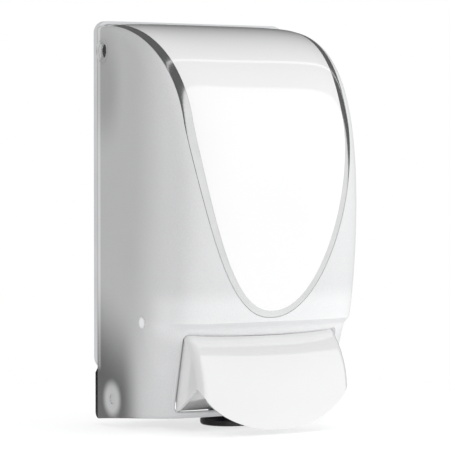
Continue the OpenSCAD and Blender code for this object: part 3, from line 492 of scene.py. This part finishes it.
# Bar: a bowed front that turns into a cheek at each side; x and along run round it from the middle, and t
# runs from its lower edge, an elliptic arc, to its top
def makeBar():
    b = barForm
    half, edge = b["halfWidth"], b["edge"]
    fronts, edges, cheeks = b["frontPoints"], b["edgePoints"], b["cheekPoints"]
    t = np.linspace(0, 1, b["rows"])
    flat = np.linspace(0, 1, fronts) * (half - edge)
    a = np.linspace(0, np.pi / 2, edges + 1)[1:]
    x = np.concatenate([flat, half - edge + edge * np.sin(a), np.full(cheeks, half)])
    bent = np.concatenate([np.zeros(fronts), edge * (1 - np.cos(a)), np.full(cheeks, edge)])
    along = np.concatenate([np.zeros(fronts + edges), np.linspace(0, 1, cheeks + 1)[1:]])
    arc = (1 - np.sqrt(1 - (b["arc"] * np.minimum(x, half) / half) ** 2)) / b["arcDrop"]
    low = b["low"] + (b["cornerHeight"] - b["low"]) * arc
    high = b["topHeight"] - b["topSag"] * (1 - (x / half) ** 2)
    low = low * (1 - along) + b["cheekLow"] * along
    h = low[:, None] + (high - low)[:, None] * t
    bow = b["bulge"] * (x[:, None] / half) ** 2 * (1 - h / b["topHeight"])
    front = barDepth(h) - bow - bent[:, None]
    rear = np.minimum(front - b["cheekBack"], b["cheekRear"])
    d = front * (1 - along[:, None]) + rear * along[:, None]
    side = xyz(x[:, None] + 0 * h, d, h)
    grid = np.concatenate([(side * [-1, 1, 1])[::-1][:-1], side])
    bar = makePiece("pushBar", grid.reshape(-1, 3), gridFaces(*grid.shape[:2]))
    bar.data.update()
    if bar.data.polygons[len(bar.data.polygons) // 2].normal.y > 0:
        bar.data.flip_normals()
    wall = bar.modifiers.new("wall", "SOLIDIFY")
    wall.thickness, wall.offset, wall.use_even_offset = b["thickness"] * millimetre, -1.0, False
    soften = bar.modifiers.new("soften", "BEVEL")
    soften.width, soften.segments = b["soften"] * millimetre, 3
    soften.limit_method, soften.angle_limit = "ANGLE", math.radians(50)
    return bar


# Underside of the bar at each end: a sloped plate from the cheek's lower edge up to the bar's corner
def makePans():
    b = barForm
    edges = np.array([b["panRear"], b["panFront"], b["panFront"], b["panRear"]])
    edges[2:, 1] += b["panThickness"]
    corners = np.array([[x, *edge] for x in b["pan"] for edge in edges])
    faces = [(0, 1, 2, 3), (7, 6, 5, 4), (0, 4, 5, 1), (1, 5, 6, 2), (2, 6, 7, 3), (3, 7, 4, 0)]
    pans = []
    for side in (-1, 1):
        pan = makePiece("barPan", xyz(side * corners[:, 0], corners[:, 1], corners[:, 2]), faces)
        pans.append(faceOutward(pan, mergeWide))
    return pans


bottleForm = {
    "low": 79.0, "high": 203.0, "half": 46.0, "rear": 9.0, "front": 80.9, "neckDepth": 46.0, "collar": 17.0,
    "shoulder": 20.0, "crown": 22.0, "neck": 14.0, "neckLow": 69.0, "boxiness": 5.0,
    "around": 120, "shoulderRows": 26, "bodyRows": 12, "crownRows": 20, "sharpAngle": 40,
}


# Bottle: rounded rectangles, whose power grows from an ellipse at the neck, stacked from neck to crown
def makeBottle():
    b = bottleForm
    halfDeep, middle = (b["front"] - b["rear"]) / 2, (b["front"] + b["rear"]) / 2
    neck, collar, half, boxy = b["neck"], b["collar"], b["half"], b["boxiness"]
    a = np.linspace(0, 2 * np.pi, b["around"], endpoint=False)

    def rows(*columns):      # height, half width, half depth, depth of the middle and power of each row
        return np.stack(np.broadcast_arrays(*columns), axis=1)

    t = np.linspace(0, 1, b["shoulderRows"])
    grow = np.sqrt(1 - (1 - t) ** 2)
    toMiddle = b["neckDepth"] + (middle - b["neckDepth"]) * ease(t)
    h = np.linspace(b["low"] + b["shoulder"], b["high"] - b["crown"], b["bodyRows"] + 2)[1:-1]
    q = np.linspace(0, np.pi / 2, b["crownRows"])
    inset = b["crown"] * (1 - np.cos(q))
    stack = np.concatenate([
        rows(np.array([b["neckLow"], b["low"]]), neck, neck, b["neckDepth"], 2),
        rows(b["low"] + b["shoulder"] * t, collar + (half - collar) * grow,
             collar + (halfDeep - collar) * grow, toMiddle, 2 + (boxy - 2) * ease(t)),
        rows(h, half, halfDeep, middle, boxy),
        rows(b["high"] - b["crown"] * (1 - np.sin(q)), half - inset, halfDeep - inset, middle, boxy),
    ])
    height, wide, deep, centre, power = (stack[:, i:i + 1] for i in range(5))
    reach = (np.abs(np.cos(a)) ** power + np.abs(np.sin(a)) ** power) ** (-1 / power)
    points = xyz(wide * reach * np.cos(a), centre + deep * reach * np.sin(a), height)
    bottle = makePiece("soapBottle", points.reshape(-1, 3), loftFaces(*points.shape[:2]))
    return sharpen(faceOutward(bottle), b["sharpAngle"])


# A node's output that takes part in sums; each operator adds a Math node
class Wire:
    def __init__(self, finish, socket):
        self.finish, self.socket = finish, socket

    def sum(self, operation, first, second):
        return self.finish.node("ShaderNodeMath", {"operation": operation}, {0: first, 1: second})

    def __add__(self, other): return self.sum("ADD", self, other)
    def __radd__(self, other): return self.sum("ADD", other, self)
    def __sub__(self, other): return self.sum("SUBTRACT", self, other)
    def __rsub__(self, other): return self.sum("SUBTRACT", other, self)
    def __mul__(self, other): return self.sum("MULTIPLY", self, other)
    def __rmul__(self, other): return self.sum("MULTIPLY", other, self)
    def __pow__(self, other): return self.sum("POWER", self, other)
    def __abs__(self): return self.sum("ABSOLUTE", self, 0.0)


# A material or world under construction
class Finish:
    def __init__(self, owner):
        owner.use_nodes = True
        self.owner, self.tree = owner, owner.node_tree
        self.tree.nodes.clear()

    def node(self, kind, settings=None, inputs=None, output=0):
        made = self.tree.nodes.new(kind)
        for key, value in (settings or {}).items():
            setattr(made, key, value)
        for key, value in (inputs or {}).items():
            if isinstance(value, Wire):
                self.tree.links.new(value.socket, made.inputs[key])
            else:
                made.inputs[key].default_value = value
        return Wire(self, made.outputs[output]) if len(made.outputs) else made

    def spot(self):         # object coordinates, in metres
        return self.node("ShaderNodeTexCoord", output="Object")

    def place(self, spot):  # x, depth and height of a spot, in millimetres
        x, y, z = (self.node("ShaderNodeSeparateXYZ", None, {0: spot}, axis) for axis in range(3))
        return x * 1000.0, y * -1000.0, z * 1000.0 + middleHeight

    def rise(self, value, low, high):       # smooth step from 0 at low to 1 at high
        return self.node("ShaderNodeMapRange", {"interpolation_type": "SMOOTHSTEP"},
                         {"Value": value, "From Min": low, "From Max": high})

    def fall(self, value, low, high):
        return 1.0 - self.rise(value, low, high)

    def near(self, x, y, atX, atY, inner, outer):       # 1 within inner of a point and 0 beyond outer
        return self.fall(((x - atX) ** 2.0 + (y - atY) ** 2.0) ** 0.5, inner, outer)

    def noise(self, spot, scale, detail=3.0, rough=0.5):
        return self.node("ShaderNodeTexNoise", None,
                         {"Vector": spot, "Scale": scale, "Detail": detail, "Roughness": rough})

    def blend(self, share, first, second):      # from one colour to another
        return self.node("ShaderNodeMix", {"data_type": "RGBA"},
                         {0: share, 6: (*first, 1.0), 7: (*second, 1.0)}, 2)

    def bump(self, height, strength, distance):
        return self.node("ShaderNodeBump", None,
                         {"Height": height, "Strength": strength, "Distance": distance})

    def surface(self, **inputs):
        named = {key.replace("_", " "): value for key, value in inputs.items()}
        shader = self.node("ShaderNodeBsdfPrincipled", None, named)
        self.node("ShaderNodeOutputMaterial", None, {"Surface": shader})
        return self.owner


def newFinish(name):
    return Finish(bpy.data.materials.new(name))


# Painted light and shade on the frosted plastic, from how the lamps fall on it and from what lies close behind
# it: each zone is a tone and where it holds.
# Pairs of numbers are where a zone starts to change and where it has changed.
frost = {
    "side": 0.58, "sideEnds": (55.0, 63.0),
    "front": 0.72, "frontFrom": (48.0, 88.0), "frontLean": (150.0, 60.0), "frontGain": 8.0,
    "right": {"tone": 0.06, "x": (-20.0, 50.0)},
    "rearTopShade": {"tone": -0.14, "depth": 14.0, "height": 196.0, "squash": 0.6, "reach": (6.0, 26.0)},
    "rim": {"tone": -0.34, "depth": (4.0, 6.0)},
    "step": {"tone": 0.22, "depth": 7.6, "reach": (0.8, 2.2), "height": (28.0, 32.0)},
    "lowRearShade": {"tone": -0.43, "lean": 0.5, "height": (30.0, 92.0), "depth": (34.0, 60.0)},
    "lobeLight": {"tone": 0.44, "at": (23.2, 13.0), "reach": (6.0, 13.0)},
    "bump": {"tone": 0.3, "at": (60.0, 60.0), "reach": (2.0, 4.0)},
    "arm": {"tone": 0.02, "at": (57.0, 60.0), "lean": 0.45, "edge": (-1.5, 3.0), "top": (57.0, 66.0),
            "foot": (20.0, 36.0)},
    "overBarHighlight": {"tone": 0.10, "height": 64.0, "reach": (5.0, 18.0), "depth": (62.0, 84.0)},
    "grain": 0.11, "grainScale": 1400.0, "cloud": 0.04, "cloudScale": 26.0, "tint": (1.0, 1.005, 1.012),
    "roughness": 0.42, "patch": 0.10, "patchScale": 420.0,
    "skin": (900.0, 4.0, 0.6), "skinBump": (0.25, 0.0003), "refraction": 1.47,
}


# Frosted plastic: a tone for the side walls, painted darker as shade, and one for the front, the painted light
# and shade zones added, and a fine grain
def frostedShell():
    m, t = newFinish("frostedShell"), frost
    spot = m.spot()
    x, d, h = m.place(spot)
    side = m.rise(abs(x), *t["sideEnds"])
    # Side walls painted darker than the front: painted shade, partly the frosted wall's own tone with the
    # inside showing through; the lower shell counts as further forward, so it is painted lighter
    ahead = d + t["frontGain"] * m.rise(h, *t["frontLean"])
    tone = t["side"] + (t["front"] - t["side"]) * m.rise(ahead, *t["frontFrom"])
    # Painted light: the right half is lighter, as the key lamp falls from the right
    z = t["right"]
    tone = tone + z["tone"] * m.rise(x, *z["x"])
    # Painted shade on the side walls at the top rear, around the finger ring
    z = t["rearTopShade"]
    squash = z["squash"]
    rearShadeMask = m.near(d, h * squash, z["depth"], z["height"] * squash, *z["reach"])
    tone = tone + z["tone"] * side * rearShadeMask
    # Painted shade: a dark band along the side walls' rear edge, next to the wall plate
    z = t["rim"]
    tone = tone + z["tone"] * side * m.fall(d, *z["depth"])
    # Painted highlight: a light strip along the rear fillet of the side walls, above the heel step
    z = t["step"]
    tone = tone + z["tone"] * side * m.fall(abs(d - z["depth"]), *z["reach"]) * m.rise(h, *z["height"])
    # Painted shade: the side walls darken towards the lower rear, above the hinge
    z = t["lowRearShade"]
    tone = tone + z["tone"] * side * m.fall(h + z["lean"] * d, *z["height"]) * m.fall(d, *z["depth"])
    # Painted highlights: light patches on the hinge lobe and on the small side bump
    for z in (t["lobeLight"], t["bump"]):
        tone = tone + z["tone"] * side * m.near(d, h, *z["at"], *z["reach"])
    # Painted light where the push bar's arm shows through the frosted wall
    z = t["arm"]
    behind = d - (z["at"][0] + (z["at"][1] - h) * z["lean"])
    tone = tone + z["tone"] * m.rise(behind, *z["edge"]) * m.fall(h, *z["top"]) * m.rise(h, *z["foot"])
    # Painted highlight on the shell just above the push bar
    z = t["overBarHighlight"]
    tone = tone + z["tone"] * m.fall(abs(h - z["height"]), *z["reach"]) * m.rise(d, *z["depth"])
    fine, cloud = m.noise(spot, t["grainScale"], 2.0), m.noise(spot, t["cloudScale"])
    tone = tone + t["grain"] * (fine - 0.5) + t["cloud"] * (cloud - 0.5)
    red, green, blue = (tone * share for share in t["tint"])
    colour = m.node("ShaderNodeCombineColor", None, {0: red, 1: green, 2: blue})
    rough = t["roughness"] + t["patch"] * (m.noise(spot, t["patchScale"]) - 0.5)
    grain = m.bump(m.noise(spot, *t["skin"]), *t["skinBump"])
    return m.surface(Base_Color=colour, Roughness=rough, Normal=grain, IOR=t["refraction"])


# Each finish below has its colour and the one it drifts to, the drift's scale, its roughness with how much
# and at what scale that varies, and its bump's noise scale and detail, strength and distance
gloss = {
    # The bar's white is set darker than the panel's: painted shade on the same gloss white plastic
    "panel": (0.95, 0.95, 0.95), "bar": (0.82, 0.82, 0.823), "drift": 0.97, "driftScale": 18.0,
    "roughness": 0.06, "patch": 0.04, "patchScale": 240.0, "peel": (70.0, 1.0), "peelBump": (0.03, 0.0004),
    "refraction": 1.6, "coatRefraction": 1.62, "coatRoughness": 0.04,
}


# Glossy white plastic: an even colour under a clear coat with a very faint peel
def glossWhite(name):
    m, g = newFinish("glossWhite" + name.capitalize()), gloss
    spot = m.spot()
    drifted = tuple(g["drift"] * c for c in g[name])
    colour = m.blend(m.noise(spot, g["driftScale"], 2.0), g[name], drifted)
    rough = g["roughness"] + g["patch"] * m.noise(spot, g["patchScale"])
    peel = m.bump(m.noise(spot, *g["peel"]), *g["peelBump"])
    return m.surface(Base_Color=colour, Roughness=rough, Normal=peel, IOR=g["refraction"],
                     Coat_Weight=1.0, Coat_IOR=g["coatRefraction"], Coat_Roughness=g["coatRoughness"])


bright = {
    "colour": (0.78, 0.79, 0.785), "tarnish": (0.66, 0.67, 0.67), "driftScale": 90.0,
    "roughness": 0.09, "patch": 0.08, "patchScale": 600.0, "haze": (500.0, 2.0), "hazeBump": (0.05, 0.0002),
}


# Bright metallised trim, slightly hazed
def brightTrim():
    m, b = newFinish("brightTrim"), bright
    spot = m.spot()
    colour = m.blend(m.noise(spot, b["driftScale"]), b["colour"], b["tarnish"])
    rough = b["roughness"] + b["patch"] * m.noise(spot, b["patchScale"], 2.0)
    haze = m.bump(m.noise(spot, *b["haze"]), *b["hazeBump"])
    return m.surface(Base_Color=colour, Metallic=1.0, Roughness=rough, Normal=haze)


mould = {
    "cloudScale": 35.0, "cloudEnds": (0.35, 0.7), "patch": 0.12, "patchScale": 120.0,
    "grain": (800.0, 3.0), "grainBump": (0.15, 0.0002),
    "satinPlate": {"colour": (0.74, 0.75, 0.76), "shade": (0.70, 0.71, 0.72), "roughness": 0.42},
    "satinInner": {"colour": (0.80, 0.80, 0.79), "shade": (0.76, 0.76, 0.75), "roughness": 0.40},
    "satinCap": {"colour": (0.86, 0.86, 0.85), "shade": (0.82, 0.82, 0.81), "roughness": 0.34},
    "blueLever": {"colour": (0.05, 0.14, 0.40), "shade": (0.04, 0.11, 0.33), "roughness": 0.38},
    "blackNozzle": {"colour": (0.012, 0.012, 0.013), "shade": (0.02, 0.02, 0.021), "roughness": 0.32},
    "smoothButton": {"colour": (0.80, 0.81, 0.82), "shade": (0.76, 0.77, 0.78), "roughness": 0.25},
}


# Moulded plastic: a colour with faint clouds, a fine spark-eroded grain and rubbed spots that shine more
def moulded(name):
    m, own = newFinish(name), mould[name]
    spot = m.spot()
    cloud = m.rise(m.noise(spot, mould["cloudScale"]), *mould["cloudEnds"])
    colour = m.blend(cloud, own["colour"], own["shade"])
    rough = own["roughness"] + mould["patch"] * (m.noise(spot, mould["patchScale"]) - 0.5)
    grain = m.bump(m.noise(spot, *mould["grain"]), *mould["grainBump"])
    return m.surface(Base_Color=colour, Roughness=rough, Normal=grain)


steel = {
    "colour": (0.62, 0.62, 0.63), "worn": (0.48, 0.48, 0.49), "wearScale": 200.0,
    "roughness": 0.24, "patch": 0.16, "patchScale": 500.0, "lineScale": 900.0, "lineBump": (0.12, 0.0001),
}


# Drawn or turned steel: fine lines across the piece and a little wear
def drawnSteel():
    m = newFinish("drawnSteel")
    spot = m.spot()
    lines = m.node("ShaderNodeTexWave", {"wave_type": "BANDS", "bands_direction": "X"},
                   {"Vector": spot, "Scale": steel["lineScale"], "Distortion": 2.0, "Detail": 2.0})
    colour = m.blend(m.noise(spot, steel["wearScale"]), steel["colour"], steel["worn"])
    rough = steel["roughness"] + steel["patch"] * m.noise(spot, steel["patchScale"])
    drawn = m.bump(lines, *steel["lineBump"])
    return m.surface(Base_Color=colour, Metallic=1.0, Roughness=rough, Normal=drawn)


refill = {
    "milk": (0.86, 0.875, 0.87), "soap": (0.72, 0.80, 0.83),
    "level": 186.0, "levelEdge": 2.5, "wave": 2.0, "waveScale": 30.0, "seamBump": 1.5,
    "fill": 0.75, "seam": 0.12, "seamDepth": 45.0, "seamReach": (0.25, 0.6), "seamFrom": (40.0, 44.0),
    "roughness": 0.32, "patch": 0.12, "patchScale": 160.0, "grainScale": 500.0, "grainBump": (0.12, 0.0003),
}


# Milky bottle: the soap shows through below its level, and a parting seam runs up each side
def milkyBottle():
    m, r = newFinish("milkyBottle"), refill
    spot = m.spot()
    x, d, h = m.place(spot)
    wave = m.noise(spot, r["waveScale"], 2.0)
    filled = m.fall(h + r["wave"] * wave, r["level"], r["level"] + r["levelEdge"])
    seam = m.fall(abs(d - r["seamDepth"]), *r["seamReach"]) * m.rise(abs(x), *r["seamFrom"])
    colour = m.blend(r["fill"] * filled + r["seam"] * seam, r["milk"], r["soap"])
    rough = r["roughness"] + r["patch"] * m.noise(spot, r["patchScale"])
    grain = m.bump(m.noise(spot, r["grainScale"]) + r["seamBump"] * seam, *r["grainBump"])
    return m.surface(Base_Color=colour, Roughness=rough, Normal=grain)


print("stage: pieces of the cover")
cover = makeCover()
panel = makePanel()
trim = makeTrim()
lip = makeMouthLip()
fingerRings = makeRings()
print("stage: push bar and refill")
bar = makeBar()
barPans = makePans()
bottle = makeBottle()

print("stage: finishes")
shellFinish, trimFinish, bottleFinish = frostedShell(), brightTrim(), milkyBottle()
panelFinish, barFinish = glossWhite("panel"), glossWhite("bar")

# Each new piece with its body, slot, finish and the node that it stands for
pieces = [
    (cover, "cover", "frosted_shell", shellFinish, ["cover_shell"]),
    (panel, "cover", "gloss_white", panelFinish, ["front_panel"]),
    (trim, "cover", "bright_trim", trimFinish, ["trim_strip"]),
    (lip, "cover", "frosted_shell", shellFinish, []),
    (bar, "push_bar", "gloss_white", barFinish, ["push_bar"]),
    (bottle, "wall_unit", "refill", bottleFinish, ["soap_bottle"]),
]
pieces += [(ring, "cover", "frosted_shell", shellFinish, []) for ring in fingerRings]
pieces += [(pan, "push_bar", "gloss_white", barFinish, []) for pan in barPans]
for piece, body, slotName, finish, nodes in pieces:
    piece.data.materials.clear()
    piece.data.materials.append(finish)
    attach(piece, body)
    if nodes:
        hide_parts(*nodes)

slotFinish = {
    "plate_white": moulded("satinPlate"), "inner_white": moulded("satinInner"),
    "cap_white": moulded("satinCap"), "button_white": moulded("smoothButton"),
    "lever_blue": moulded("blueLever"), "nozzle_black": moulded("blackNozzle"),
    "steel": drawnSteel(), "refill": bottleFinish,
    "frosted_shell": shellFinish, "gloss_white": panelFinish, "bright_trim": trimFinish,
}
for part in frame["record"]["subparts"]:
    node = frame["nodes"][part["node"]]
    for place in node.material_slots:
        place.material = slotFinish[part["material_slot"]]

print("stage: studio")
# Lengths here are in metres. The sky's shares run from 0, in front of the wall, to 1, behind it.
studio = {
    "middle": (0.0, -0.05), "floorDrop": 0.0006, "floorRadius": 0.34, "floorFade": (0.35, 0.95),
    "floorShare": 0.45, "floorGlow": 0.3, "floorColour": (0.97, 0.975, 0.985), "floorPoints": 96,
    "level": 0.70, "darkSide": 0.86, "edgeAt": 0.185, "edgeWidth": 0.02, "sideTilt": 0.2,
    "lineAt": 0.415, "lineReach": (0.008, 0.016), "lineLevel": 0.9,
    "turn": 31.0, "tilt": 1.758, "distance": 1.4052, "lens": 191.2, "aim": (-0.0039, -0.050, -0.00277),
}
lamps = {
    "keyLamp": {"at": (1.2, -1.2, 0.3), "size": 0.9, "watts": 11.0},
    "sideLamp": {"at": (-1.3, -0.9, 0.3), "size": 1.0, "watts": 3.0},
    "topLamp": {"at": (0.1, -0.5, 1.5), "size": 1.2, "watts": 2.0},
}
white = (1.0, 1.0, 1.0, 1.0)
scene = bpy.context.scene
scene.view_settings.view_transform = "Standard"


def makeLamps():
    for name, l in lamps.items():
        light = bpy.data.lights.new(name, "AREA")
        light.shape, light.size, light.energy = "DISK", l["size"], l["watts"]
        lamp = bpy.data.objects.new(name, light)
        lamp.location = l["at"]
        lamp.rotation_mode = "QUATERNION"
        lamp.rotation_quaternion = (Vector(studio["aim"]) - lamp.location).to_track_quat("-Z", "Y")
        lamp.visible_glossy = False
        scene.collection.objects.link(lamp)


# World: white to the camera and even for the light; for gloss it is bright in front of the wall and dark
# behind it, with one narrow bright line in the dark half
def makeWorld():
    world = bpy.data.worlds.new("studioSky")
    scene.world = world
    w = Finish(world)
    way = w.node("ShaderNodeTexCoord", output="Generated")
    across = w.node("ShaderNodeSeparateXYZ", None, {0: way}, 0)
    deep = w.node("ShaderNodeSeparateXYZ", None, {0: way}, 1)
    share = deep * 0.5 - across * studio["sideTilt"] + 0.5
    dark = studio["darkSide"] * w.rise(share, studio["edgeAt"], studio["edgeAt"] + studio["edgeWidth"])
    line = w.fall(abs(share - studio["lineAt"]), *studio["lineReach"])
    glow = 1.0 - dark * (1.0 - studio["lineLevel"] * line)
    sky = w.node("ShaderNodeCombineColor", None, {0: glow, 1: glow, 2: glow})
    seen = w.node("ShaderNodeLightPath", output="Is Camera Ray")
    shiny = w.node("ShaderNodeLightPath", output="Is Glossy Ray")
    even = w.node("ShaderNodeBackground", None, {"Color": white, "Strength": studio["level"]})
    mirrored = w.node("ShaderNodeBackground", None, {"Color": sky, "Strength": 1.0})
    plain = w.node("ShaderNodeBackground", None, {"Color": white, "Strength": 1.0})
    first = w.node("ShaderNodeMixShader", None, {0: shiny, 1: even, 2: mirrored})
    last = w.node("ShaderNodeMixShader", None, {0: seen, 1: first, 2: plain})
    w.node("ShaderNodeOutputWorld", None, {"Surface": last})


# Floor: a disc under the model whose rim fades into the white around it
def makeFloor():
    low = cadBox[0].z - studio["floorDrop"]
    r, count, (middleX, middleY) = studio["floorRadius"], studio["floorPoints"], studio["middle"]
    a = np.linspace(0, 2 * np.pi, count, endpoint=False)
    points = np.stack([middleX + r * np.cos(a), middleY + r * np.sin(a), np.full(count, low)], axis=1)
    floor = makePiece("paleFloor", points / millimetre, [list(range(count))], smooth=False)
    m = newFinish("paleFloor")
    spot = m.spot()
    x, y = (m.node("ShaderNodeSeparateXYZ", None, {0: spot}, axis) for axis in range(2))
    start, end = studio["floorFade"]
    shader = m.node("ShaderNodeBsdfPrincipled", None, {
        "Base Color": (*studio["floorColour"], 1.0), "Roughness": 1.0, "Specular IOR Level": 0.0,
        "Emission Color": white, "Emission Strength": studio["floorGlow"]})
    clear = m.node("ShaderNodeBsdfTransparent")
    share = studio["floorShare"] * m.near(x, y, middleX, middleY, r * start, r * end)
    both = m.node("ShaderNodeMixShader", None, {0: share, 1: clear, 2: shader})
    m.node("ShaderNodeOutputMaterial", None, {"Surface": both})
    floor.data.materials.append(m.owner)


def makeCamera():
    turn, tilt = math.radians(studio["turn"]), math.radians(studio["tilt"])
    back = Vector((-math.sin(turn) * math.cos(tilt), -math.cos(turn) * math.cos(tilt), math.sin(tilt)))
    camera = bpy.data.objects.new("camera", bpy.data.cameras.new("camera"))
    camera.data.sensor_width, camera.data.lens = 36.0, studio["lens"]
    camera.location = Vector(studio["aim"]) + back * studio["distance"]
    camera.rotation_mode = "QUATERNION"
    camera.rotation_quaternion = (-back).to_track_quat("-Z", "Y")
    scene.collection.objects.link(camera)
    scene.camera = camera


makeLamps()
makeWorld()
makeFloor()
makeCamera()

print("stage: done")
